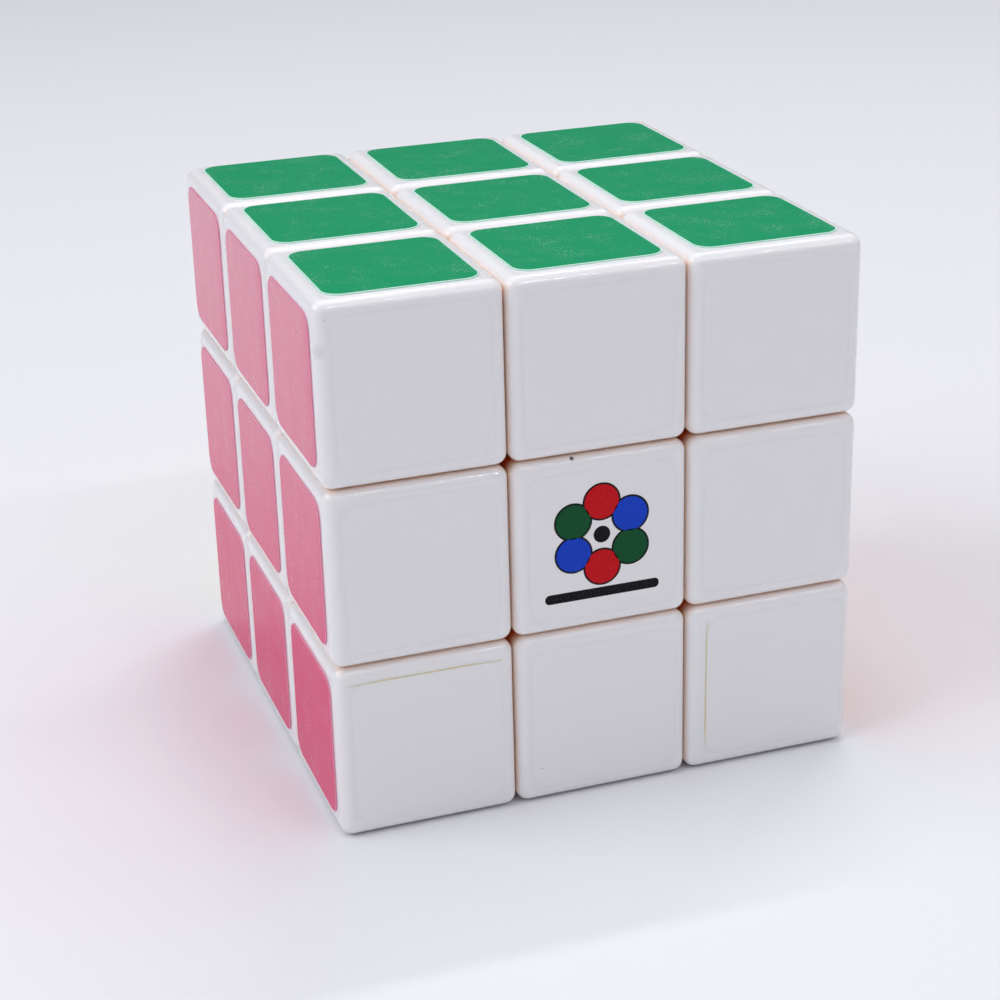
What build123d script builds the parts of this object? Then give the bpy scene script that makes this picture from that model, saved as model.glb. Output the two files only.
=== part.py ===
from build123d import *
import os

# A 3x3x3 twisty puzzle cube. Millimetres. The origin is the middle of the core,
# +Z is the top face, -Y the front face and +X the right face.

# Driving dimensions
cube_size = 57.0          # across the plastic, without stickers
layers = 3
gap = 0.36                # between two neighbouring pieces
edge_round = 1.25         # every outer edge of a piece
wall = 1.6                # shells
fit_gap = 0.1             # between parts pressed or glued into each other

sticker_size = 15.7
sticker_corner = 1.9
sticker_thickness = 0.15

# The mechanism. Outside the track sphere the layers part at a third of the cube,
# and inside it they part nearer the core, so each foot hooks under its neighbours.
track_radius = 20.0
inner_plane = 5.5         # where the layers part inside the track
foot_bore = 12.2          # radius of the hollow round the core
foot_round = 0.5
seam_radius = 23.0        # where a shell meets the foot that closes it
plug_radius = 27.0        # how far a foot's plug reaches into its shell
plug_wall = 1.4

# Centre pieces
cap_seam = 24.3           # height where the cap sits on its base
cap_pocket_top = 26.9
plug_outer = 14.8
plug_inner = 12.4
plug_depth = 2.0
base_pocket = 15.0
base_pocket_floor = 21.5
hub_radius = 5.3
hub_bottom = 10.7
well_radius = 3.9
well_floor = 12.7
screw_clearance = 1.75    # radius of the hole in the hub

# Core
ball_radius = 8.0
arm_radius = 4.2
arm_end = 10.5
arm_chamfer = 0.4
pilot_radius = 1.35
pilot_start = 3.0

# Screws, springs and washers
shank_radius = 1.3
thread_radius = 1.5
thread_root = 1.15
thread_pitch = 0.9
thread_turns = 8
screw_tip = 3.6
tip_length = 0.6
head_radius = 2.9
head_height = 1.9
head_seat = 19.9          # height of the underside of the head
head_round = 0.9
head_top = head_seat + head_height
recess_depth = 1.1
recess_length = 3.2
recess_width = 0.75
washer_thickness = 0.5
washer_bore = 1.7
washer_radius = 3.5
coil_radius = 2.75
wire_radius = 0.3
spring_turns = 5
spring_play = 0.1         # under the spring

# Worked out from them
half = cube_size / 2
pitch = cube_size / layers
clear = gap / 2
outer_near = pitch / 2 + clear    # a corner or an edge starts here, outside the track
outer_side = pitch / 2 - clear    # a middle piece ends here, outside the track
inner_near = inner_plane + clear
inner_side = inner_plane - clear
foot_radius = track_radius - clear
cover_radius = track_radius + clear
block_depth = half - outer_near
block_width = 2 * outer_side
block_middle = (half + outer_near) / 2
hollow = block_depth - 2 * wall
foot_depth = foot_radius - inner_near
foot_middle = (foot_radius + inner_near) / 2
plug_near = outer_near + wall + fit_gap
plug_far = half - wall - fit_gap
plug_middle = (plug_near + plug_far) / 2
plug_size = plug_far - plug_near
plug_width = block_width - 2 * (wall + fit_gap)

os.makedirs("parts", exist_ok=True)


# ---- corner, built at the top back right ----
with BuildPart() as corner_block:
    with Locations((block_middle, block_middle, block_middle)):
        Box(block_depth, block_depth, block_depth)
    fillet(corner_block.edges(), edge_round)

with BuildPart() as corner_shell:
    add(corner_block)
    with Locations((block_middle, block_middle, block_middle)):
        Box(hollow, hollow, hollow, mode=Mode.SUBTRACT)
    Sphere(seam_radius, mode=Mode.SUBTRACT)

with BuildPart() as corner_collar:
    add(corner_block)
    Sphere(seam_radius, mode=Mode.INTERSECT)

with BuildPart() as corner_plug:
    with Locations((plug_middle, plug_middle, plug_middle)):
        Box(plug_size, plug_size, plug_size)
    Sphere(plug_radius, mode=Mode.INTERSECT)
    pocket_middle = plug_middle + plug_wall
    with Locations((pocket_middle, pocket_middle, pocket_middle)):
        Box(plug_size, plug_size, plug_size, mode=Mode.SUBTRACT)

with BuildPart() as corner_foot:
    with Locations((foot_middle, foot_middle, foot_middle)):
        Box(foot_depth, foot_depth, foot_depth)
    Sphere(foot_radius, mode=Mode.INTERSECT)
    Sphere(foot_bore, mode=Mode.SUBTRACT)
    fillet(corner_foot.edges(), foot_round)
    add(corner_collar)
    add(corner_plug)

# ---- edge, built at the top back ----
with BuildPart() as edge_block:
    with Locations((0, block_middle, block_middle)):
        Box(block_width, block_depth, block_depth)
    fillet(edge_block.edges(), edge_round)

with BuildPart() as edge_shell:
    add(edge_block)
    with Locations((0, block_middle, block_middle)):
        Box(block_width - 2 * wall, hollow, hollow, mode=Mode.SUBTRACT)
    Sphere(seam_radius, mode=Mode.SUBTRACT)

with BuildPart() as edge_collar:
    add(edge_block)
    Sphere(seam_radius, mode=Mode.INTERSECT)
    Sphere(cover_radius, mode=Mode.SUBTRACT)

with BuildPart() as edge_stem:
    with Locations((0, block_middle, block_middle)):
        Box(2 * inner_side, block_depth, block_depth)
    Sphere((cover_radius + seam_radius) / 2, mode=Mode.INTERSECT)
    Sphere(foot_bore, mode=Mode.SUBTRACT)

with BuildPart() as edge_plug:
    with Locations((0, plug_middle, plug_middle)):
        Box(plug_width, plug_size, plug_size)
    Sphere(plug_radius, mode=Mode.INTERSECT)
    with Locations((0, plug_middle + plug_wall, plug_middle + plug_wall)):
        Box(plug_width - 2 * plug_wall, plug_size, plug_size, mode=Mode.SUBTRACT)
    Sphere(cover_radius, mode=Mode.SUBTRACT)

with BuildPart() as edge_foot:
    with Locations((0, foot_middle, foot_middle)):
        Box(2 * inner_side, foot_depth, foot_depth)
    Sphere(foot_radius, mode=Mode.INTERSECT)
    Sphere(foot_bore, mode=Mode.SUBTRACT)
    fillet(edge_foot.edges(), foot_round)
    add(edge_stem)
    add(edge_collar)
    add(edge_plug)

# ---- centre, built on top ----
with BuildPart() as centre_base:
    with BuildSketch(Plane.XY.offset(cap_seam)):
        RectangleRounded(block_width, block_width, edge_round)
    extrude(amount=-cap_seam)
    Sphere(cover_radius, mode=Mode.SUBTRACT)
    with BuildSketch(Plane.XY.offset(hub_bottom)):
        Circle(hub_radius)
    extrude(amount=base_pocket_floor - hub_bottom)
    with BuildSketch(Plane.XY.offset(cap_seam)):
        Rectangle(base_pocket, base_pocket)
    extrude(amount=base_pocket_floor - cap_seam, mode=Mode.SUBTRACT)
    with BuildSketch(Plane.XY.offset(base_pocket_floor)):
        Circle(well_radius)
    extrude(amount=well_floor - base_pocket_floor, mode=Mode.SUBTRACT)
    with BuildSketch(Plane.XY.offset(well_floor)):
        Circle(screw_clearance)
    extrude(amount=hub_bottom - well_floor, mode=Mode.SUBTRACT)

with BuildPart() as centre_cap:
    with Locations((0, 0, (cap_seam - edge_round + half) / 2)):
        Box(block_width, block_width, half - cap_seam + edge_round)
    fillet(centre_cap.edges(), edge_round)
    split(bisect_by=Plane.XY.offset(cap_seam), keep=Keep.TOP)
    with BuildSketch(Plane.XY.offset(cap_seam)):
        Rectangle(plug_outer, plug_outer)
    extrude(amount=-plug_depth)
    with BuildSketch(Plane.XY.offset(cap_seam - plug_depth)):
        Rectangle(plug_inner, plug_inner)
    extrude(amount=cap_pocket_top - cap_seam + plug_depth, mode=Mode.SUBTRACT)

# ---- sticker, built on the middle of the top face ----
with BuildPart() as sticker:
    with BuildSketch(Plane.XY):
        RectangleRounded(sticker_size, sticker_size, sticker_corner)
    extrude(amount=sticker_thickness)

# ---- screw, spring and washer of the top centre ----
thread = []
for turn in range(thread_turns):
    groove = screw_tip + tip_length + turn * thread_pitch
    thread.append((thread_root, groove))
    thread.append((thread_radius, groove + thread_pitch / 2))
shank = [(shank_radius, groove + thread_pitch), (shank_radius, head_seat)]
head = [(head_radius, head_seat), (head_radius, head_top), (0, head_top)]

with BuildPart() as screw:
    with BuildSketch(Plane.XZ):
        with BuildLine():
            Polyline([(0, screw_tip)] + thread + shank + head + [(0, screw_tip)])
        make_face()
    revolve(axis=Axis.Z)
    rim = screw.edges().filter_by(GeomType.CIRCLE).group_by(Axis.Z)[-1]
    fillet(rim, head_round)
    with BuildSketch(Plane.XY.offset(head_top)):
        Rectangle(recess_length, recess_width)
        Rectangle(recess_width, recess_length)
    extrude(amount=-recess_depth, mode=Mode.SUBTRACT)

with BuildPart() as washer:
    with BuildSketch(Plane.XY.offset(head_seat - washer_thickness)):
        Circle(washer_radius)
        Circle(washer_bore, mode=Mode.SUBTRACT)
    extrude(amount=washer_thickness)

spring_bottom = well_floor + spring_play + wire_radius
spring_height = head_seat - washer_thickness - wire_radius - spring_bottom
with BuildPart() as spring:
    with BuildLine():
        coil = Helix(spring_height / spring_turns, spring_height, coil_radius, center=(0, 0, spring_bottom))
    with BuildSketch(Plane(origin=coil @ 0, z_dir=coil % 0)):
        Circle(wire_radius)
    sweep(is_frenet=True)

# ---- one arm of the core ----
with BuildPart() as arm:
    with BuildSketch():
        Circle(arm_radius)
    extrude(amount=arm_end)
    chamfer(arm.edges().group_by(Axis.Z)[-1], arm_chamfer)

with BuildPart() as pilot:
    with BuildSketch(Plane.XY.offset(pilot_start)):
        Circle(pilot_radius)
    extrude(amount=arm_end - pilot_start)


# ---- places ----
def placings(home):
    # every cell like the home one, with the turn that brings the home piece to it
    found = {}
    for tilt in (Rot(0, 0, 0), Rot(-90, 0, 0), Rot(0, 90, 0), Rot(180, 0, 0)):
        for quarter in range(4):
            turn = Rot(0, 0, 90 * quarter) * tilt
            spot = (turn * Pos(*home)).position
            cell = (round(spot.X), round(spot.Y), round(spot.Z))
            found.setdefault(cell, turn)
    return found


def cell_name(kind, cell):
    # names such as corner_top_front_left, from the sides that the cell is on
    sides = [("bottom", "", "top")[cell[2] + 1], ("front", "", "back")[cell[1] + 1],
             ("left", "", "right")[cell[0] + 1]]
    return "_".join([kind] + [side for side in sides if side])


def stickers_of(cell):
    # one sticker on each outer face of the cell
    found = []
    for axis in range(3):
        if cell[axis]:
            outward = [0, 0, 0]
            outward[axis] = cell[axis]
            spot = [pitch * step for step in cell]
            spot[axis] = half * cell[axis]
            found.append(Location(Plane(origin=spot, z_dir=outward)) * sticker.part)
    return found


def write_node(name, pieces):
    # a node of one solid, or of several that stay apart
    solids = [solid for piece in pieces for solid in piece.solids()]
    node = solids[0] if len(solids) == 1 else Compound(solids)
    node.label = name
    export_step(node, f"parts/{name}.step")


# ---- the 26 outer pieces ----
families = [
    ("corner", (1, 1, 1), corner_shell, "shell", corner_foot, "foot"),
    ("edge", (0, 1, 1), edge_shell, "shell", edge_foot, "foot"),
    ("center", (0, 0, 1), centre_cap, "cap", centre_base, "base"),
]
for kind, home, outer, outer_word, inner, inner_word in families:
    for cell, turn in placings(home).items():
        name = cell_name(kind, cell)
        write_node(f"{name}_{outer_word}", [turn * outer.part] + stickers_of(cell))
        write_node(f"{name}_{inner_word}", [turn * inner.part])

# ---- the core and what is screwed to it ----
face_turns = list(placings((0, 0, 1)).values())
with BuildPart() as core:
    Sphere(ball_radius)
    with Locations(*face_turns):
        add(arm)
        add(pilot, mode=Mode.SUBTRACT)
core.part.label = "core"
export_step(core.part, "parts/core.step")
for name, piece in (("center_screws", screw), ("center_springs", spring), ("spring_washers", washer)):
    write_node(name, [turn * piece.part for turn in face_turns])
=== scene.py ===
import math
import random

import bmesh
import bpy
from mathutils import Matrix, Vector


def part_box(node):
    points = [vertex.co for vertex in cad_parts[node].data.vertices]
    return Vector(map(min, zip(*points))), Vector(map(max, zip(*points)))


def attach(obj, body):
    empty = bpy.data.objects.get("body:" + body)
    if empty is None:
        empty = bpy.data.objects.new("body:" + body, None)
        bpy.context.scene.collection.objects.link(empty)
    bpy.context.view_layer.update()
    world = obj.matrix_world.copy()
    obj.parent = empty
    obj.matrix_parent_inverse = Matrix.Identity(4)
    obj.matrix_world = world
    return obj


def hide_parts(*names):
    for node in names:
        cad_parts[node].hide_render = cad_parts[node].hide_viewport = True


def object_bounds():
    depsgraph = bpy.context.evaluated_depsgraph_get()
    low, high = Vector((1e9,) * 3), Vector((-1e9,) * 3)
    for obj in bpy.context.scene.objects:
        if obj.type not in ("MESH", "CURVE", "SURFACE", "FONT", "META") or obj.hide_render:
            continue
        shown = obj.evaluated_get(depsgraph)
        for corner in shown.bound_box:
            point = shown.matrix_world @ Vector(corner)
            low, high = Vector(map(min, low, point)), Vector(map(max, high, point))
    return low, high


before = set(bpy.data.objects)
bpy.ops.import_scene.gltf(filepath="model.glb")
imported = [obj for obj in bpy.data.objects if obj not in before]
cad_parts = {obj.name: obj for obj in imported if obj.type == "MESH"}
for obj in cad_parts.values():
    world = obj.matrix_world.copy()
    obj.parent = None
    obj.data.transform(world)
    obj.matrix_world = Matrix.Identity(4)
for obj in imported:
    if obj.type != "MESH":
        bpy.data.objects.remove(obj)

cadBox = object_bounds()
scene = bpy.context.scene
mm = 0.001


def toLinear(hexColour):
    # sRGB hex to the linear colour that the shaders want
    parts = [int(hexColour[i:i + 2], 16) / 255 for i in (1, 3, 5)]
    return [c / 12.92 if c <= 0.04045 else ((c + 0.055) / 1.055) ** 2.4 for c in parts] + [1.0]


def addNode(tree, kind, settings=None, links=None):
    # settings: properties or input values, links: input name or number to an output socket
    node = tree.nodes.new(kind)
    for key, value in (settings or {}).items():
        if isinstance(key, str) and hasattr(node, key):
            setattr(node, key, value)
        else:
            node.inputs[key].default_value = value
    for key, socket in (links or {}).items():
        tree.links.new(socket, node.inputs[key])
    return node


def startMaterial(name):
    material = bpy.data.materials.new(name)
    material.use_nodes = True
    tree = material.node_tree
    tree.nodes.clear()
    place = addNode(tree, "ShaderNodeTexCoord").outputs["Object"]
    return material, tree, place


def finishMaterial(tree, shader):
    addNode(tree, "ShaderNodeOutputMaterial", links={"Surface": shader.outputs[0]})


def newPiece(name, mesh, body, material):
    piece = bpy.data.objects.new(name, mesh)
    scene.collection.objects.link(piece)
    mesh.materials.clear()
    mesh.materials.append(material)
    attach(piece, body)
    return piece


# where the camera stands

cameraSet = {
    "aim": (-1.7, -1.8, -5.5),    # mm, a touch left of and below the middle of the cube
    "turn": 18.64,                # degrees round to the left of straight on
    "tilt": 22.49,                # degrees above level
    "roll": 1.58,                 # degrees, clockwise
    "distance": 248.6,            # mm
    "lens": 79.9,                 # mm, on a 36 mm sensor
}


def placeCamera(look):
    turn, tilt = math.radians(look["turn"]), math.radians(look["tilt"])
    out = Vector((-math.sin(turn) * math.cos(tilt), -math.cos(turn) * math.cos(tilt), math.sin(tilt)))
    data = bpy.data.cameras.new("camera")
    data.lens = look["lens"]
    data.sensor_width = 36
    data.clip_start = 0.01
    camera = bpy.data.objects.new("camera", data)
    scene.collection.objects.link(camera)
    camera.location = (Vector(look["aim"]) + out * look["distance"]) * mm
    facing = (-out).to_track_quat("-Z", "Y").to_matrix()
    rolled = facing @ Matrix.Rotation(math.radians(-look["roll"]), 3, "Z")
    camera.rotation_euler = rolled.to_euler()
    scene.camera = camera


placeCamera(cameraSet)
print("camera set")

# materials

shellSet = {
    "white": "#f2f1f3",          # clean moulding
    "aged": "#f1eff0",           # where it has yellowed a little
    "paintedGlow": "#ffdfcd",           # painted glow on the groove walls: warm colour that stands in for the light coming through the plastic
    "paintedDeepGlow": "#ff9658",       # painted glow, warmer still where the pieces meet, further in
    "patch": 9.0,                # mm, size of the yellowed patches
    "ripple": 0.45,              # mm, ripple that the mould's polish leaves
    "pitch": 9.5,                # mm, where the grooves run
    "lip": (1.3, 0.4),           # mm from a groove, where its warmth begins and where it is full
    "warm": (28.15, 27.2, 26.0), # mm from the middle, where the painted glow begins, is full and turns deep
    "milk": (0.45, 1.0),         # how milky the flats and the grooves' lips are
    "reach": (0.45, 2.2),        # mm that light wanders there
    "marks": [                   # place and radius in mm, strength, colour
        ((-2.95, -27.97, 9.15), 0.3, 0.97, "#241608"),         # lint in the groove
        ((-27.3, -28.35, 26.8), 0.2, 0.5, "#6a5038"),
        ((-28.1, -28.1, 23.7), 0.9, 0.16, "#7f8798"),          # scuff on the edge
    ],
}


def addMarks(tree, place, colour, marks):
    # small stains, each a soft ball of colour round its place
    for spot, radius, strength, stain in marks:
        away = addNode(tree, "ShaderNodeVectorMath", {"operation": "DISTANCE", 1: [c * mm for c in spot]},
                       {0: place})
        amount = addNode(tree, "ShaderNodeMapRange", {"From Min": radius * mm, "From Max": radius * mm * 0.4,
                                                      "To Max": strength}, {0: away.outputs["Value"]})
        colour = addNode(tree, "ShaderNodeMix", {"data_type": "RGBA", 7: toLinear(stain)},
                         {0: amount.outputs[0], 6: colour}).outputs[2]
    return colour


def shellAbs(look):
    # moulded ABS from a polished mould: milky, soft light in its edges, partly from its translucence and
    # partly painted as a warm glow in the grooves, a clear but slightly rippled gloss
    material, tree, place = startMaterial("moulded ABS white")
    patches = addNode(tree, "ShaderNodeTexNoise", {"Scale": 1 / (look["patch"] * mm), "Detail": 4.0},
                      {"Vector": place})
    tone = addNode(tree, "ShaderNodeMix", {"data_type": "RGBA", 6: toLinear(look["white"]),
                                           7: toLinear(look["aged"])}, {0: patches.outputs["Fac"]})
    # distance from the nearest groove, and from the middle of the cube, by the piece's own coordinates
    axes = addNode(tree, "ShaderNodeVectorMath", {"operation": "ABSOLUTE"}, {0: place})
    split = addNode(tree, "ShaderNodeSeparateXYZ", links={0: axes.outputs[0]})
    nearest = outermost = None
    for far in split.outputs:
        offPlane = addNode(tree, "ShaderNodeMath", {"operation": "SUBTRACT", 1: look["pitch"] * mm},
                           {0: far})
        off = addNode(tree, "ShaderNodeMath", {"operation": "ABSOLUTE"}, {0: offPlane.outputs[0]}).outputs[0]
        if nearest is None:
            nearest, outermost = off, far
            continue
        nearest = addNode(tree, "ShaderNodeMath", {"operation": "MINIMUM"}, {0: nearest, 1: off}).outputs[0]
        outermost = addNode(tree, "ShaderNodeMath", {"operation": "MAXIMUM"},
                            {0: outermost, 1: far}).outputs[0]
    lipOuter, lipInner = [width * mm for width in look["lip"]]
    warmFrom, warmFull, warmDeep = [height * mm for height in look["warm"]]
    lip = addNode(tree, "ShaderNodeMapRange", {"From Min": lipOuter, "From Max": lipInner}, {0: nearest})
    depth = addNode(tree, "ShaderNodeMapRange", {"From Min": warmFrom, "From Max": warmFull},
                    {0: outermost})
    warmth = addNode(tree, "ShaderNodeMath", {"operation": "MULTIPLY"},
                     {0: lip.outputs[0], 1: depth.outputs[0]})
    further = addNode(tree, "ShaderNodeMapRange", {"From Min": warmFull, "From Max": warmDeep},
                      {0: outermost})
    # painted glow: the groove walls take a warm colour, orange further in, standing in for light that comes
    # through the plastic
    paintedGlow = addNode(tree, "ShaderNodeMix", {"data_type": "RGBA", 6: toLinear(look["paintedGlow"]),
                                           7: toLinear(look["paintedDeepGlow"])}, {0: further.outputs[0]})
    colour = addNode(tree, "ShaderNodeMix", {"data_type": "RGBA"},
                     {0: warmth.outputs[0], 6: tone.outputs[2], 7: paintedGlow.outputs[2]}).outputs[2]
    handled = addNode(tree, "ShaderNodeTexNoise", {"Scale": 1 / (4 * mm), "Detail": 8.0, "Roughness": 0.7},
                      {"Vector": place})
    gloss = addNode(tree, "ShaderNodeMapRange", {"From Min": 0.3, "From Max": 0.75, "To Min": 0.05,
                                                 "To Max": 0.13}, {0: handled.outputs["Fac"]})
    ripple = addNode(tree, "ShaderNodeTexNoise", {"Scale": 1 / (look["ripple"] * mm), "Detail": 2.0},
                     {"Vector": place})
    relief = addNode(tree, "ShaderNodeBump", {"Strength": 0.5, "Distance": 0.05 * mm},
                     {"Height": ripple.outputs["Fac"]})
    # light wanders further through the thin lips of the grooves than through the flats
    milk = addNode(tree, "ShaderNodeMapRange", {"To Min": look["milk"][0], "To Max": look["milk"][1]},
                   {0: warmth.outputs[0]})
    reach = addNode(tree, "ShaderNodeMapRange", {"To Min": look["reach"][0] * mm,
                                                 "To Max": look["reach"][1] * mm}, {0: warmth.outputs[0]})
    shader = addNode(tree, "ShaderNodeBsdfPrincipled",
                     {"IOR": 1.54, "Subsurface Radius": (1.0, 0.8, 0.68)},
                     {"Base Color": addMarks(tree, place, colour, look["marks"]),
                      "Subsurface Weight": milk.outputs[0], "Subsurface Scale": reach.outputs[0],
                      "Roughness": gloss.outputs[0], "Normal": relief.outputs[0]})
    finishMaterial(tree, shader)
    return material


# the feet's peach colour is partly the plastic's own warm tone and partly painted glow, standing in for warm
# light bounced deep between the pieces
footSet = {"light": "#ffd9b4", "deep": "#ffba8c", "flow": 5.0}    # flow: mm, size of the moulding's clouds


def footAbs(look, name):
    # moulded ABS from an unpolished mould: satin, warm, with soft clouds where the plastic flowed
    material, tree, place = startMaterial(name)
    clouds = addNode(tree, "ShaderNodeTexNoise", {"Scale": 1 / (look["flow"] * mm), "Detail": 5.0,
                                                  "Distortion": 0.6}, {"Vector": place})
    tone = addNode(tree, "ShaderNodeMix", {"data_type": "RGBA", 6: toLinear(look["light"]),
                                           7: toLinear(look["deep"])}, {0: clouds.outputs["Fac"]})
    grain = addNode(tree, "ShaderNodeTexNoise", {"Scale": 1 / (0.35 * mm), "Detail": 3.0}, {"Vector": place})
    gloss = addNode(tree, "ShaderNodeMapRange", {"To Min": 0.32, "To Max": 0.5}, {0: grain.outputs["Fac"]})
    relief = addNode(tree, "ShaderNodeBump", {"Strength": 0.25, "Distance": 0.02 * mm},
                     {"Height": grain.outputs["Fac"]})
    shader = addNode(tree, "ShaderNodeBsdfPrincipled",
                     {"IOR": 1.53, "Subsurface Weight": 0.6, "Subsurface Radius": (1.0, 0.5, 0.3),
                      "Subsurface Scale": 2.5 * mm},
                     {"Base Color": tone.outputs[2], "Roughness": gloss.outputs[0],
                      "Normal": relief.outputs[0]})
    finishMaterial(tree, shader)
    return material


def steel(name, light, dark, grain, rough):
    # zinc plated or drawn steel: grey, faintly streaked, with a soft metallic glint
    material, tree, place = startMaterial(name)
    streak = addNode(tree, "ShaderNodeMapping", {"Scale": grain}, {"Vector": place})
    lines = addNode(tree, "ShaderNodeTexNoise", {"Scale": 1 / (0.4 * mm), "Detail": 5.0},
                    {"Vector": streak.outputs[0]})
    tone = addNode(tree, "ShaderNodeMix", {"data_type": "RGBA", 6: toLinear(light), 7: toLinear(dark)},
                   {0: lines.outputs["Fac"]})
    gloss = addNode(tree, "ShaderNodeMapRange", {"To Min": rough, "To Max": rough + 0.2},
                    {0: lines.outputs["Fac"]})
    relief = addNode(tree, "ShaderNodeBump", {"Strength": 0.2, "Distance": 0.01 * mm},
                     {"Height": lines.outputs["Fac"]})
    shader = addNode(tree, "ShaderNodeBsdfPrincipled", {"Metallic": 1.0},
                     {"Base Color": tone.outputs[2], "Roughness": gloss.outputs[0],
                      "Normal": relief.outputs[0]})
    finishMaterial(tree, shader)
    return material


filmSet = {
    "colours": {"green": "#039a64", "red": "#de196a", "white": "#f2f0f1", "blue": "#1647b8",
                "orange": "#f0641a", "yellow": "#f2cf1d"},
    "cut": {"green": "#c9f2e2", "red": "#e98fac", "white": "#f3f1f0", "blue": "#c4d2f2",
            "orange": "#f8d3ba", "yellow": "#f7efc0"},       # the film's cut edge
    "dust": 0.21,                # mm between specks
    "bloom": 0.012,              # pale bloom where dust gathers
    "wave": 3.2,                 # mm, ripple of the film over the plastic
    "pitch": 19.0,               # mm from sticker to sticker
    "reflectionRise": 0.012,               # how pale the painted haze makes the upper rows, standing in for the bright floor they mirror
    "polish": {"red": 0.65, "green": 0.03},      # clear gloss left on the upper rows
    "marks": {"white": [((-6.9, -28.5, -24.7), 0.13, 0.5, "#5b5a60")],
              "red": [((-28.5, 6.3, 12.9), 0.3, 0.6, "#b01840"), ((-28.5, 25.6, 25.8), 0.5, 0.3, "#c01a50"),
                      ((-28.5, -5.5, 24.8), 0.25, 0.5, "#b01840"),
                      ((-28.5, 3.0, 19.5), 0.18, 0.5, "#a82048")]},
}


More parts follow.
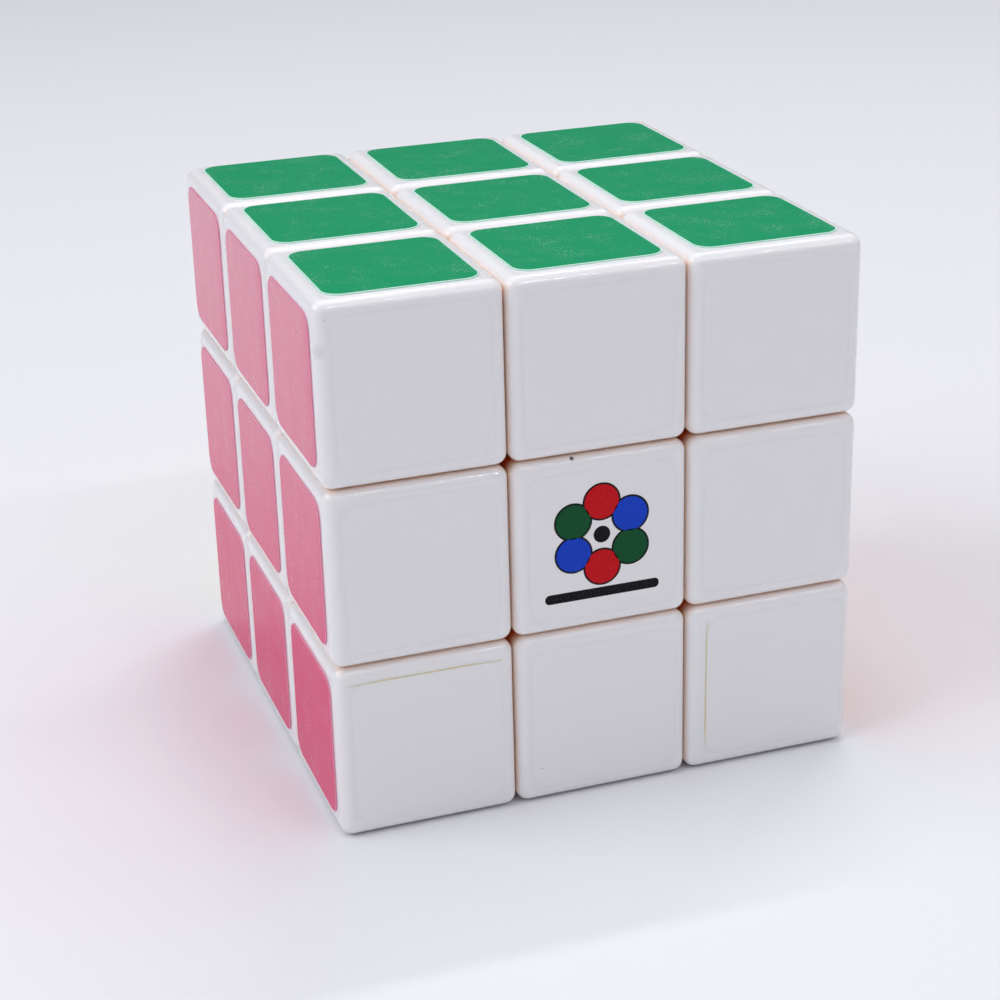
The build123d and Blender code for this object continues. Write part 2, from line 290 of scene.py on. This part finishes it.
def vinylFilm(colourName, look):
    # self-adhesive vinyl film: even colour, clear gloss that ripples a little, dust, streaks and rubs, and a
    # pale painted reflection that rises towards the upper rows
    material, tree, place = startMaterial("vinyl film " + colourName)
    base = toLinear(look["colours"][colourName])
    paler = [c + (1 - c) * 0.008 for c in base[:3]] + [1.0]
    cloud = addNode(tree, "ShaderNodeTexNoise", {"Scale": 1 / (6 * mm), "Detail": 3.0}, {"Vector": place})
    tone = addNode(tree, "ShaderNodeMix", {"data_type": "RGBA", 6: base, 7: paler},
                   {0: cloud.outputs["Fac"]})
    # long streaks down the sides, where fingers have wiped
    stretch = addNode(tree, "ShaderNodeMapping", {"Scale": (1.0, 1.0, 0.05)}, {"Vector": place})
    streaks = addNode(tree, "ShaderNodeTexNoise", {"Scale": 1 / (1.7 * mm), "Detail": 7.0},
                      {"Vector": stretch.outputs[0]})
    height = addNode(tree, "ShaderNodeSeparateXYZ", links={0: place})
    # painted reflection: a rise towards the upper rows that mixes in a pale colour for the mirrored floor;
    # the same rise also sets the real coat
    reflectionRise = addNode(tree, "ShaderNodeMapRange", {"From Min": -13 * mm, "From Max": 26 * mm,
                                                "To Max": 1.0}, {0: height.outputs["Z"]})
    streaky = addNode(tree, "ShaderNodeMapRange", {"From Min": 0.3, "From Max": 0.7, "To Min": 0.9,
                                                   "To Max": 1.07}, {0: streaks.outputs["Fac"]})
    # the painted haze and the coat are weaker along each sticker's near edge
    along = addNode(tree, "ShaderNodeMath",
                    {"operation": "MULTIPLY_ADD", 1: 1 / (look["pitch"] * mm), 2: 2.5},
                    {0: height.outputs["Y"]})
    within = addNode(tree, "ShaderNodeMath", {"operation": "FRACT"}, {0: along.outputs[0]})
    nearEdgeShare = addNode(tree, "ShaderNodeMapRange", {"From Min": 0.08, "From Max": 0.26, "To Min": 0.6},
                     {0: within.outputs[0]})
    hazeAndCoatShare = addNode(tree, "ShaderNodeMath", {"operation": "MULTIPLY"},
                    {0: reflectionRise.outputs[0], 1: nearEdgeShare.outputs[0]})
    sheen = addNode(tree, "ShaderNodeMath", {"operation": "MULTIPLY"},
                    {0: hazeAndCoatShare.outputs[0], 1: streaky.outputs[0]})
    paintedHaze = addNode(tree, "ShaderNodeMath", {"operation": "MULTIPLY", 1: look["reflectionRise"]}, {0: sheen.outputs[0]})
    coat = addNode(tree, "ShaderNodeMath", {"operation": "MULTIPLY",
                                            1: look["polish"].get(colourName, 0.35)}, {0: sheen.outputs[0]})
    # painted reflection: the pale colour mixed into the film
    paintedHazeColour = addNode(tree, "ShaderNodeMix", {"data_type": "RGBA", 7: toLinear("#ead8ec")},
                    {0: paintedHaze.outputs[0], 6: tone.outputs[2]})
    specks = addNode(tree, "ShaderNodeTexVoronoi", {"Scale": 1 / (look["dust"] * mm)}, {"Vector": place})
    gathered = addNode(tree, "ShaderNodeTexNoise", {"Scale": 1 / (3.5 * mm), "Detail": 3.0},
                       {"Vector": place})
    size = addNode(tree, "ShaderNodeMapRange", {"From Min": 0.35, "From Max": 0.7, "To Min": 0.05,
                                                "To Max": 0.34}, {0: gathered.outputs["Fac"]})
    dust = addNode(tree, "ShaderNodeMath", {"operation": "LESS_THAN"},
                   {0: specks.outputs["Distance"], 1: size.outputs[0]})
    paleness = addNode(tree, "ShaderNodeMapRange", {"From Min": 0.3, "From Max": 0.85, "To Max": 0.4},
                       {0: specks.outputs["Color"]})
    bloom = addNode(tree, "ShaderNodeMapRange", {"From Min": 0.4, "From Max": 0.7, "To Max": look["bloom"]},
                    {0: gathered.outputs["Fac"]})
    dustAmount = addNode(tree, "ShaderNodeMath", {"operation": "MULTIPLY_ADD"},
                         {0: dust.outputs[0], 1: paleness.outputs[0], 2: bloom.outputs[0]})
    dusty = addNode(tree, "ShaderNodeMix", {"data_type": "RGBA", 7: toLinear("#dfe6e4")},
                    {0: dustAmount.outputs[0], 6: paintedHazeColour.outputs[2]})
    colour = addMarks(tree, place, dusty.outputs[2], look["marks"].get(colourName, []))
    gloss = addNode(tree, "ShaderNodeMapRange", {"From Min": 0.35, "From Max": 0.7, "To Min": 0.09,
                                                 "To Max": 0.22}, {0: streaks.outputs["Fac"]})
    wave = addNode(tree, "ShaderNodeTexNoise", {"Scale": 1 / (look["wave"] * mm), "Detail": 3.0},
                   {"Vector": place})
    waves = addNode(tree, "ShaderNodeBump", {"Strength": 0.35, "Distance": 0.03 * mm},
                    {"Height": wave.outputs["Fac"]})
    relief = addNode(tree, "ShaderNodeBump", {"Strength": 0.1, "Distance": 0.01 * mm},
                     {"Height": streaks.outputs["Fac"], "Normal": waves.outputs[0]})
    shader = addNode(tree, "ShaderNodeBsdfPrincipled",
                     {"IOR": 1.5, "Specular IOR Level": 0.1, "Coat Roughness": 0.12, "Coat IOR": 1.5},
                     {"Base Color": colour, "Roughness": gloss.outputs[0], "Normal": relief.outputs[0],
                      "Coat Weight": coat.outputs[0]})
    finishMaterial(tree, shader)
    return material


def cutVinyl(colourName, look):
    # cut edge of the film: pale and matt, since the colour lies only on its face
    material, tree, place = startMaterial("cut vinyl " + colourName)
    grain = addNode(tree, "ShaderNodeTexNoise", {"Scale": 1 / (0.3 * mm), "Detail": 4.0}, {"Vector": place})
    pale = toLinear(look["cut"][colourName])
    tone = addNode(tree, "ShaderNodeMix", {"data_type": "RGBA", 6: pale,
                                           7: [c * 0.9 for c in pale[:3]] + [1.0]},
                   {0: grain.outputs["Fac"]})
    gloss = addNode(tree, "ShaderNodeMapRange", {"To Min": 0.35, "To Max": 0.55}, {0: grain.outputs["Fac"]})
    shader = addNode(tree, "ShaderNodeBsdfPrincipled", {"IOR": 1.5},
                     {"Base Color": tone.outputs[2], "Roughness": gloss.outputs[0]})
    finishMaterial(tree, shader)
    return material


def printInk(name, hexColour):
    # screen printed ink: thin, even, slightly matt, with tiny pinholes
    material, tree, place = startMaterial(name)
    grain = addNode(tree, "ShaderNodeTexNoise", {"Scale": 1 / (0.25 * mm), "Detail": 4.0}, {"Vector": place})
    base = toLinear(hexColour)
    tone = addNode(tree, "ShaderNodeMix", {"data_type": "RGBA", 6: base,
                                           7: [c + (1 - c) * 0.006 for c in base[:3]] + [1.0]},
                   {0: grain.outputs["Fac"]})
    gloss = addNode(tree, "ShaderNodeMapRange", {"To Min": 0.2, "To Max": 0.34}, {0: grain.outputs["Fac"]})
    shader = addNode(tree, "ShaderNodeBsdfPrincipled", {"IOR": 1.48, "Specular IOR Level": 0.12},
                     {"Base Color": tone.outputs[2], "Roughness": gloss.outputs[0]})
    finishMaterial(tree, shader)
    return material


whiteAbs = shellAbs(shellSet)
warmAbs = footAbs(footSet, "moulded ABS satin")
nylon = footAbs({"light": "#e9dccb", "deep": "#d9c4ab", "flow": 3.0}, "moulded nylon")
screwSteel = steel("zinc plated steel", "#c3c4c6", "#8f9093", (1, 1, 6), 0.28)
springSteel = steel("drawn spring steel", "#a9aaae", "#77787c", (3, 3, 3), 0.25)
washerSteel = steel("stamped zinc plated steel", "#bcbdc0", "#93949a", (6, 1, 1), 0.3)
films = {name: vinylFilm(name, filmSet) for name in filmSet["colours"]}
cuts = {name: cutVinyl(name, filmSet) for name in filmSet["cut"]}
print("materials made")

# outer shells and caps

# the cells of the cube, and the faces that they show
faceFilms = {(0, 0, 1): "green", (0, 0, -1): "blue", (0, -1, 0): "white",
             (0, 1, 0): "yellow", (-1, 0, 0): "red", (1, 0, 0): "orange"}
sideWords = {2: ("bottom", "", "top"), 1: ("front", "", "back"), 0: ("left", "", "right")}
kinds = {1: "center", 2: "edge", 3: "corner"}


def cellName(cell):
    words = [sideWords[axis][cell[axis] + 1] for axis in (2, 1, 0)]
    return "_".join([kinds[sum(abs(c) for c in cell)]] + [word for word in words if word])


steps = (-1, 0, 1)
cells = [(x, y, z) for x in steps for y in steps for z in steps if (x, y, z) != (0, 0, 0)]

# sizes read from the frame
filmHeight = 0.15 * mm
half = cadBox[1][2] - filmHeight
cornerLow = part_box("corner_top_back_right_shell")[0]
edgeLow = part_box("edge_top_back_shell")[0]
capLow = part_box("center_top_cap")[0]
fuller = 0.12 * mm           # the mouldings swell a little towards each other, which closes the grooves
near = cornerLow[0] - fuller          # where a corner's shell begins
side = -edgeLow[0] + fuller           # half the width of a middle piece

mouldSet = {
    "round": 1.25 * mm,      # outer edges
    "roundSteps": 6,
    "crease": 32,            # degrees, a sharper bend than this stays sharp
    "wall": 1.6 * mm,
    "seam": 23.0 * mm,       # radius of the round seam to the foot
    "capSeam": 24.3 * mm,    # height of the seam under a cap
    "plugDepth": 2.0 * mm,
    "plugOuter": 7.4 * mm,
    "plugInner": 6.2 * mm,
    "capHollow": 26.9 * mm,
}


def blockMesh(low, high):
    built = bmesh.new()
    bmesh.ops.create_cube(built, size=1)
    middle = [(a + b) / 2 for a, b in zip(low, high)]
    for vert in built.verts:
        vert.co = Vector([m + v * (b - a) for m, v, a, b in zip(middle, vert.co, low, high)])
    return built


def meshFrom(built, name):
    mesh = bpy.data.meshes.new(name)
    built.to_mesh(mesh)
    built.free()
    return mesh


def scratchObject(mesh):
    piece = bpy.data.objects.new(mesh.name, mesh)
    scene.collection.objects.link(piece)
    return piece


def roundedBlock(low, high, look):
    built = blockMesh(low, high)
    bmesh.ops.bevel(built, geom=built.edges[:], offset=look["round"], segments=look["roundSteps"],
                    profile=0.5, affect="EDGES")
    return scratchObject(meshFrom(built, "block"))


def cutterBall(radius):
    built = bmesh.new()
    bmesh.ops.create_icosphere(built, subdivisions=5, radius=radius)
    return scratchObject(meshFrom(built, "ball"))


def carve(piece, cutters, joined=()):
    # takes the cutters out of the piece, adds the joined ones, and returns the finished mesh
    for tool, operation in [(c, "DIFFERENCE") for c in cutters] + [(c, "UNION") for c in joined]:
        step = piece.modifiers.new("carve", "BOOLEAN")
        step.operation = operation
        step.object = tool
        step.solver = "EXACT"
    bpy.context.view_layer.update()
    ready = piece.evaluated_get(bpy.context.evaluated_depsgraph_get())
    mesh = bpy.data.meshes.new_from_object(ready)
    for tool in [piece] + list(cutters) + list(joined):
        bpy.data.objects.remove(tool)
    return mesh


def shadeRound(mesh, limit):
    # smooth over the fillets, sharp at the cut seams, with the flats kept flat
    for face in mesh.polygons:
        face.use_smooth = True
    mesh.set_sharp_from_angle(angle=math.radians(limit))
    piece = scratchObject(mesh)
    smooth = piece.modifiers.new("smooth", "WEIGHTED_NORMAL")
    smooth.keep_sharp = True
    smooth.weight = 100
    bpy.context.view_layer.update()
    ready = piece.evaluated_get(bpy.context.evaluated_depsgraph_get())
    shaded = bpy.data.meshes.new_from_object(ready)
    bpy.data.objects.remove(piece)
    return shaded


def cornerMould(look):
    # hollow three-sided shell, open inside along a round seam
    low, high = (near,) * 3, (half,) * 3
    inside = [near + look["wall"]] * 3, [half - look["wall"]] * 3
    block = roundedBlock(low, high, look)
    return shadeRound(carve(block, [scratchObject(meshFrom(blockMesh(*inside), "hollow")),
                                    cutterBall(look["seam"])]), look["crease"])


def edgeMould(look):
    low, high = (-side, near, near), (side, half, half)
    wall = look["wall"]
    inside = (-side + wall, near + wall, near + wall), (side - wall, half - wall, half - wall)
    block = roundedBlock(low, high, look)
    return shadeRound(carve(block, [scratchObject(meshFrom(blockMesh(*inside), "hollow")),
                                    cutterBall(look["seam"])]), look["crease"])


def capMould(look):
    # press-in cap: rounded top, square plug below
    seam, wide, narrow = look["capSeam"], look["plugOuter"], look["plugInner"]
    block = roundedBlock((-side, -side, seam - 2 * look["round"]), (side, side, half), look)
    below = blockMesh((-2 * side, -2 * side, 0), (2 * side, 2 * side, seam))
    plug = blockMesh((-wide, -wide, seam - look["plugDepth"]), (wide, wide, seam + look["wall"]))
    pocket = blockMesh((-narrow, -narrow, 0), (narrow, narrow, look["capHollow"]))
    top = carve(block, [scratchObject(meshFrom(below, "below"))])
    top = carve(scratchObject(top), [], [scratchObject(meshFrom(plug, "plug"))])
    return shadeRound(carve(scratchObject(top), [scratchObject(meshFrom(pocket, "pocket"))]), look["crease"])


homes = {"corner": (1, 1, 1), "edge": (0, 1, 1), "center": (0, 0, 1)}
moulds = {"corner": cornerMould(mouldSet), "edge": edgeMould(mouldSet), "center": capMould(mouldSet)}
print("moulds cut:", {kind: len(mesh.polygons) for kind, mesh in moulds.items()})


def turnTo(home, cell):
    # the quarter turns that bring the home piece to its cell
    for tilt in (Matrix.Identity(3), Matrix.Rotation(-math.pi / 2, 3, "X"),
                 Matrix.Rotation(math.pi / 2, 3, "Y"), Matrix.Rotation(math.pi, 3, "X")):
        for quarter in range(4):
            turn = Matrix.Rotation(quarter * math.pi / 2, 3, "Z") @ tilt
            spot = turn @ Vector(home)
            if all(round(s) == c for s, c in zip(spot, cell)):
                return turn.to_4x4()


for cell in cells:
    name = cellName(cell)
    kind = name.split("_")[0]
    mesh = moulds[kind].copy()
    mesh.transform(turnTo(homes[kind], cell))
    ending = "cap" if kind == "center" else "shell"
    piece = newPiece(f"{name}_{ending}_moulding", mesh, name, whiteAbs)
    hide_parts(f"{name}_{ending}")
print("shells placed:", len(cells))

# stickers

stickerSet = {
    "size": 15.7 * mm,
    "corner": 1.9 * mm,
    "cornerSteps": 9,
    "crisp": [(0.0, 0.8), (0.05, 0.95), (0.13, 1.0)],                         # mm in, share of height
    "pressed": [(0.0, 0.03), (0.3, 0.09), (0.8, 0.16), (1.5, 0.2)],
    "crease": 50,            # degrees
    "slip": 0.12 * mm,       # how far off its place a hand-set sticker may be
    "skew": 0.5,             # degrees
    "pitch": 19.0 * mm,
    "seed": 57,
    # cell and axis of the two that were set further off, and how far
    "strays": {((1, -1, -1), 1): (0.55 * mm, 0.0), ((-1, -1, -1), 1): (0.0, -0.25 * mm)},
}


def roundedSquare(width, height, radius, count):
    # points of a rectangle with round corners, anticlockwise
    points = []
    for corner, (sx, sy) in enumerate(((1, 1), (-1, 1), (-1, -1), (1, -1))):
        for step in range(count + 1):
            angle = (corner + step / count) * math.pi / 2
            points.append((sx * (width / 2 - radius) + radius * math.cos(angle),
                           sy * (height / 2 - radius) + radius * math.sin(angle)))
    return points


def filmMesh(name, rings):
    # stacks closed outlines, given with their heights, into a closed sheet
    built = bmesh.new()
    loops = [[built.verts.new((x, y, height)) for x, y in outline] for outline, height in rings]
    for lower, upper in zip(loops, loops[1:]):
        for i in range(len(lower)):
            j = (i + 1) % len(lower)
            built.faces.new((lower[i], lower[j], upper[j], upper[i]))
    built.faces.new(list(reversed(loops[0])))
    built.faces.new(loops[-1])
    return meshFrom(built, name)


def stickerMesh(look, rim):
    # white films are pressed flat into their rims, coloured ones are cut crisp
    outlines = []
    for inset, height in [(0.0, 0.0)] + look[rim]:
        size = look["size"] - 2 * inset * mm
        outlines.append((roundedSquare(size, size, look["corner"] - inset * mm, look["cornerSteps"]),
                         height * filmHeight))
    return shadeRound(filmMesh(rim + " sticker", outlines), look["crease"])


def facePlace(outward):
    # a frame whose Z points out of the face, with X level on the sides and Y up
    z = Vector(outward)
    up = Vector((0, 0, 1)) if abs(z.z) < 0.5 else Vector((0, 1, 0))
    x = up.cross(z).normalized()
    return Matrix((x, z.cross(x), z)).transposed().to_4x4()


shaker = random.Random(stickerSet["seed"])
stickerHomes = {rim: stickerMesh(stickerSet, rim) for rim in ("crisp", "pressed")}
stickerPlaces = {}     # where each sticker was set
for cell in cells:
    for axis in range(3):
        if not cell[axis]:
            continue
        outward = [0, 0, 0]
        outward[axis] = cell[axis]
        spot = Vector([stickerSet["pitch"] * c for c in cell])
        spot[axis] = half * cell[axis]
        slip = Vector([shaker.uniform(-1, 1) * stickerSet["slip"] for _ in range(2)] + [0])
        slip += Vector((*stickerSet["strays"].get((cell, axis), (0, 0)), 0))
        skew = math.radians(shaker.uniform(-1, 1) * stickerSet["skew"])
        setDown = (Matrix.Translation(spot) @ facePlace(outward) @ Matrix.Translation(slip)
                   @ Matrix.Rotation(skew, 4, "Z"))
        stickerPlaces[cell, axis] = setDown
        film = faceFilms[tuple(outward)]
        mesh = stickerHomes["pressed" if film == "white" else "crisp"].copy()
        mesh.transform(setDown)
        name = cellName(cell)
        newPiece(f"{name}_sticker_{film}", mesh, name, films[film])
        if film != "white":
            mesh.materials.append(cuts[film])
            for face in mesh.polygons:       # the rim is the only part with four-sided faces
                face.material_index = int(len(face.vertices) == 4)
print("stickers placed")

glueSet = {
    "amber": "#efcf90",
    "pale": "#efe4d2",
    "width": 0.17,           # mm at its widest
    "lift": 0.03,            # mm above the plastic
    "under": 0.03,           # mm under the sticker's edge
    "steps": 44,
    # cell, the sticker's edge as a quarter turn from its top, start and end in mm along it, seed
    "lines": [((-1, -1, -1), 0, -8.3, 8.0, 3), ((1, -1, -1), 1, -7.2, 7.7, 4)],
}
frontAxis = 1


def glueBead(cell, quarter, start, end, seed, look, material):
    # yellowed adhesive that has crept out along one edge of a sticker, thick and thin
    turn = Matrix.Rotation(quarter * math.pi / 2, 4, "Z")
    wander = random.Random(seed)
    steps = look["steps"]
    inner, outer = [], []
    for i in range(steps + 1):
        along = start + (end - start) * i / steps
        taper = min(1.0, 5 * min(i, steps - i) / steps)
        wide = look["width"] * taper * wander.uniform(0.45, 1.0)
        inner.append((along * mm, stickerSet["size"] / 2 - look["under"] * mm))
        outer.append((along * mm, stickerSet["size"] / 2 + wide * mm))
    outline = inner + list(reversed(outer))
    mesh = filmMesh("bead", [(outline, 0.0), (outline, look["lift"] * mm)])
    mesh.transform(stickerPlaces[cell, frontAxis] @ turn)
    newPiece(f"{cellName(cell)}_adhesive", mesh, cellName(cell), material)


def driedGlue(look):
    # dried acrylic adhesive: amber, translucent, slightly sticky sheen with lint in it
    material, tree, place = startMaterial("dried adhesive")
    grain = addNode(tree, "ShaderNodeTexNoise", {"Scale": 1 / (0.6 * mm), "Detail": 5.0}, {"Vector": place})
    tone = addNode(tree, "ShaderNodeMix", {"data_type": "RGBA", 6: toLinear(look["amber"]),
                                           7: toLinear(look["pale"])}, {0: grain.outputs["Fac"]})
    gloss = addNode(tree, "ShaderNodeMapRange", {"To Min": 0.25, "To Max": 0.5}, {0: grain.outputs["Fac"]})
    shader = addNode(tree, "ShaderNodeBsdfPrincipled", {"IOR": 1.47, "Subsurface Weight": 0.4,
                                                        "Subsurface Scale": 0.3 * mm},
                     {"Base Color": tone.outputs[2], "Roughness": gloss.outputs[0]})
    finishMaterial(tree, shader)
    return material


glue = driedGlue(glueSet)
for cell, quarter, start, end, seed in glueSet["lines"]:
    glueBead(cell, quarter, start, end, seed, glueSet, glue)
print("adhesive lines laid")

# the print on the front middle sticker

badgeSet = {
    "petals": 6,
    "petal": 1.85 * mm,      # radius of a petal
    "ring": 3.55 * mm,       # from the badge's middle to a petal's
    "rise": 0.75 * mm,       # badge's middle above the sticker's
    "heart": 0.9 * mm,
    "outline": 0.2 * mm,
    "ink": 0.012 * mm,       # one layer of ink
    "bar": (12.4 * mm, 1.05 * mm),
    "barDrop": 5.6 * mm,
    "inks": {"red": "#c80414", "green": "#02502a", "blue": "#0f40c4", "black": "#09080c"},
}


def disc(radius, x, y, count=40):
    return [(x + radius * math.cos(2 * math.pi * i / count), y + radius * math.sin(2 * math.pi * i / count))
            for i in range(count)]


def inkSheet(name, outline, base, thickness, ink):
    mesh = filmMesh(name, [(outline, base), (outline, base + thickness)])
    mesh.transform(Matrix.Translation((0, -half, 0)) @ facePlace((0, -1, 0)))
    return newPiece(name, mesh, "center_front", ink)


def printBadge(look):
    # printed on the pressed white film
    film = filmHeight * stickerSet["pressed"][-1][1]
    inks = {name: printInk("screen ink " + name, colour) for name, colour in look["inks"].items()}
    ink, rise = look["ink"], look["rise"]
    middles = []
    for i in range(look["petals"]):
        angle = math.pi / 2 + i * 2 * math.pi / look["petals"]
        middles.append((look["ring"] * math.cos(angle), rise + look["ring"] * math.sin(angle)))
    for i, (x, y) in enumerate(middles):
        base = film + ink * i / look["petals"]
        inkSheet(f"badge_outline_{i + 1}", disc(look["petal"] + look["outline"], x, y), base, ink,
                 inks["black"])
    for i, (x, y) in enumerate(middles):
        colour = ("red", "green", "blue")[i % 3]
        inkSheet(f"badge_petal_{i + 1}", disc(look["petal"], x, y), film + 2 * ink, ink, inks[colour])
    inkSheet("badge_heart", disc(look["heart"], 0, rise), film, 2 * ink, inks["black"])
    width, height = look["bar"]
    bar = [(x, y - look["barDrop"]) for x, y in roundedSquare(width, height, height / 2.2, 5)]
    inkSheet("badge_bar", bar, film, ink, inks["black"])


printBadge(badgeSet)
print("badge printed")

# what stays from the frame

inside = {"core": nylon, "center_screws": screwSteel, "center_springs": springSteel,
          "spring_washers": washerSteel}
for node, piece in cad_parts.items():
    material = inside.get(node)
    # feet and bases take the peach moulding, whose colour is partly painted glow
    if node.endswith(("_foot", "_base")):
        material = warmAbs
    if material:
        piece.data.materials.clear()
        piece.data.materials.append(material)
print("inner pieces finished")

# paper, lamps and surroundings

roomSet = {
    "paper": "#ebebee",
    "front": -1.4, "back": 1.4, "width": 2.8,     # metres
    "bend": 0.12,
    "wall": 0.14,
}


def paperSweep(look):
    # seamless paper: a floor that bends up into the wall
    profile = [(look["front"], 0.0), (look["back"] - look["bend"], 0.0)]
    for i in range(1, 13):
        angle = i / 12 * math.pi / 2
        profile.append((look["back"] - look["bend"] + look["bend"] * math.sin(angle),
                        look["bend"] * (1 - math.cos(angle))))
    profile.append((look["back"], look["wall"]))
    built = bmesh.new()
    floor = cadBox[0][2]
    rows = [[built.verts.new((x, y, floor + z)) for x in (-look["width"] / 2, look["width"] / 2)]
            for y, z in profile]
    for lower, upper in zip(rows, rows[1:]):
        built.faces.new((lower[0], lower[1], upper[1], upper[0]))
    mesh = meshFrom(built, "paper_sweep")
    for face in mesh.polygons:
        face.use_smooth = True
    material, tree, place = startMaterial("matt paper")
    fibre = addNode(tree, "ShaderNodeTexNoise", {"Scale": 1 / (1.5 * mm), "Detail": 5.0}, {"Vector": place})
    paper = toLinear(look["paper"])
    tone = addNode(tree, "ShaderNodeMix", {"data_type": "RGBA", 6: paper,
                                           7: [c * 0.985 for c in paper[:3]] + [1]},
                   {0: fibre.outputs["Fac"]})
    shader = addNode(tree, "ShaderNodeBsdfPrincipled", {"Roughness": 0.6, "Specular IOR Level": 0.3},
                     {"Base Color": tone.outputs[2]})
    finishMaterial(tree, shader)
    mesh.materials.append(material)
    sweep = bpy.data.objects.new("paper_sweep", mesh)
    scene.collection.objects.link(sweep)


def softbox(name, place, aim, size, power, colour):
    data = bpy.data.lights.new(name, "AREA")
    data.shape = "RECTANGLE"
    data.size, data.size_y = size
    data.energy = power
    data.color = toLinear(colour)[:3]
    lamp = bpy.data.objects.new(name, data)
    scene.collection.objects.link(lamp)
    lamp.location = place
    lamp.rotation_euler = (Vector(aim) - Vector(place)).to_track_quat("-Z", "Y").to_euler()


paperSweep(roomSet)
lampSet = {     # place, what it points at, width and length in metres, watts, colour
    "top box": ((0.0, 0.08, 0.95), (0, 0.08, 0), (0.45, 0.55), 1.95, "#fbfcff"),
    "front box": ((-0.1, -0.7, 0.45), (0, 0, 0), (0.7, 0.4), 0.08, "#fffaff"),
    "left box": ((-0.66, 0.0, 0.58), (0, 0, 0), (0.7, 0.5), 3.0, "#f8fbff"),
    "right box": ((0.7, 0.0, 0.4), (0, 0, 0), (0.6, 0.4), 0.33, "#fbfcff"),
    # narrow strips, for the glints along the upper edges
    "back strip": ((0.22, 0.23, 0.59), (0.22, 0, 0), (0.32, 0.02), 0.75, "#ffffff"),
    "front strip": ((0.2, -0.37, 0.48), (0.2, 0, 0), (0.32, 0.025), 0.38, "#ffffff"),
}
for name, lamp in lampSet.items():
    softbox(name, *lamp)

tentSet = {
    "cloth": "#f3f3fa",
    "bright": 0.565,             # light of the cloth overhead
    "sides": 0.235,              # and of its lower sides
    "dim": 0.08,                 # light of the open side, low behind the cube
    "opening": (0.05, 0.45),     # how far back a direction must point before it dims
    "edge": (0.3, 0.6),          # how steep it must be before the cloth takes over again
}


def lightTent(look):
    # white cloth tent, open and dark low at the back, so that the upper face has nothing pale to mirror
    world = bpy.data.worlds.new("light tent")
    scene.world = world
    world.use_nodes = True
    tree = world.node_tree
    background = tree.nodes["Background"]
    background.inputs["Color"].default_value = toLinear(look["cloth"])
    way = addNode(tree, "ShaderNodeTexCoord")
    split = addNode(tree, "ShaderNodeSeparateXYZ", links={0: way.outputs["Generated"]})
    back = addNode(tree, "ShaderNodeMapRange",
                   {"From Min": look["opening"][0], "From Max": look["opening"][1]},
                   {0: split.outputs["Y"]})
    low = addNode(tree, "ShaderNodeMapRange", {"From Min": look["edge"][1], "From Max": look["edge"][0]},
                  {0: split.outputs["Z"]})
    cloth = addNode(tree, "ShaderNodeMapRange", {"From Min": 0.1, "From Max": 0.6, "To Min": look["sides"],
                                                 "To Max": look["bright"]}, {0: split.outputs["Z"]})
    dark = addNode(tree, "ShaderNodeMath", {"operation": "MULTIPLY"},
                   {0: back.outputs[0], 1: low.outputs[0]})
    strength = addNode(tree, "ShaderNodeMapRange", {"To Max": look["dim"]},
                       {0: dark.outputs[0], "To Min": cloth.outputs[0]})
    tree.links.new(strength.outputs[0], background.inputs["Strength"])


lightTent(tentSet)
scene.view_settings.view_transform = "Standard"
print("room lit")
